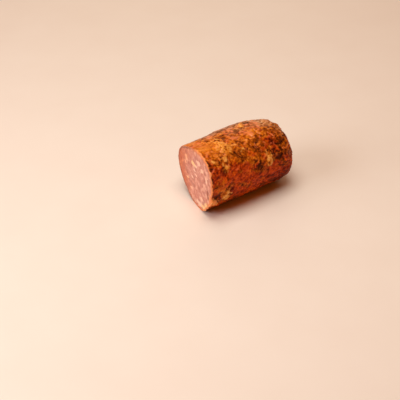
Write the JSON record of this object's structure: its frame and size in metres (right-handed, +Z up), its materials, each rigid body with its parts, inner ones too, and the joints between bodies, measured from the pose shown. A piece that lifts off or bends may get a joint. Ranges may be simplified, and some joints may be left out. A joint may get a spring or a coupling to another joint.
{
  "type": "cheese grill sausage",
  "caption": "Chunk of thick grilled sausage with cheese, lying on its side, cut flat at one end and closed and rounded at the other.",
  "frame": {"origin": "middle of the bounding box at the surface that the chunk lies on", "axes": "+X along the chunk from the cut to the rounded end, +Z up"},
  "size_m": [0.1048, 0.0686, 0.0637],
  "materials": {
    "sausage": "grilled and lightly greasy, uneven"
  },
  "bodies": {
    "root": {"sausage": "sausage"}
  },
  "joints": []
}
